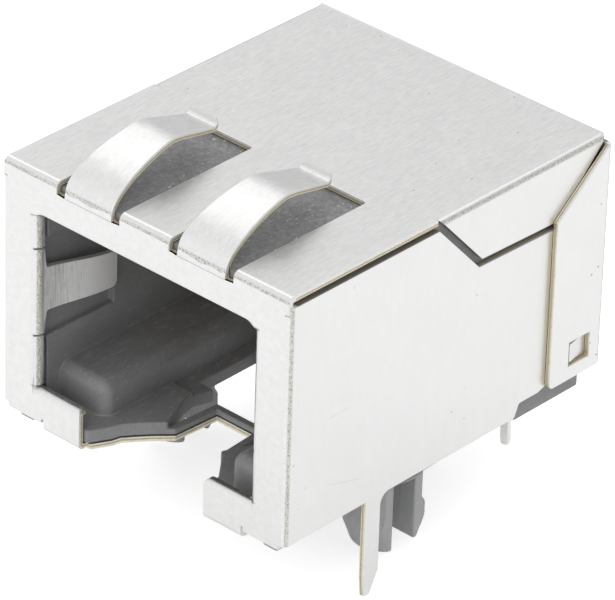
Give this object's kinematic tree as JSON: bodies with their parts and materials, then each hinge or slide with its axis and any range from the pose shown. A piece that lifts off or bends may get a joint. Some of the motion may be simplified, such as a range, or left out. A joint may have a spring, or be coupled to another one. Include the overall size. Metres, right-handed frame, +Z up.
{
  "type": "ethernet connector",
  "caption": "Shielded modular jack for a circuit board: folded metal shell with spring fingers over a black moulding with split pegs, opening at the front and latch side down.",
  "frame": {"origin": "on the board's surface, below the middle of the front face", "axes": "+X across the width to the right as seen from the front, +Y back from the front face, +Z up from the board"},
  "size_m": [0.016, 0.0185, 0.0173],
  "materials": {
    "plated_sheet": "bright plating over brass, finely brushed, raw brass at the sheared edges",
    "black_moulding": "fine moulded grain with pale dust specks",
    "insert_moulding": "fine moulded grain",
    "contact_wire": "gold plated at the spring, pale tin at the tail"
  },
  "bodies": {
    "root": {"shield": "plated_sheet", "housing": "black_moulding", "insert": "insert_moulding", "contact_1": "contact_wire", "contact_2": "contact_wire", "contact_3": "contact_wire", "contact_4": "contact_wire", "contact_5": "contact_wire", "contact_6": "contact_wire", "contact_7": "contact_wire", "contact_8": "contact_wire"}
  },
  "joints": []
}
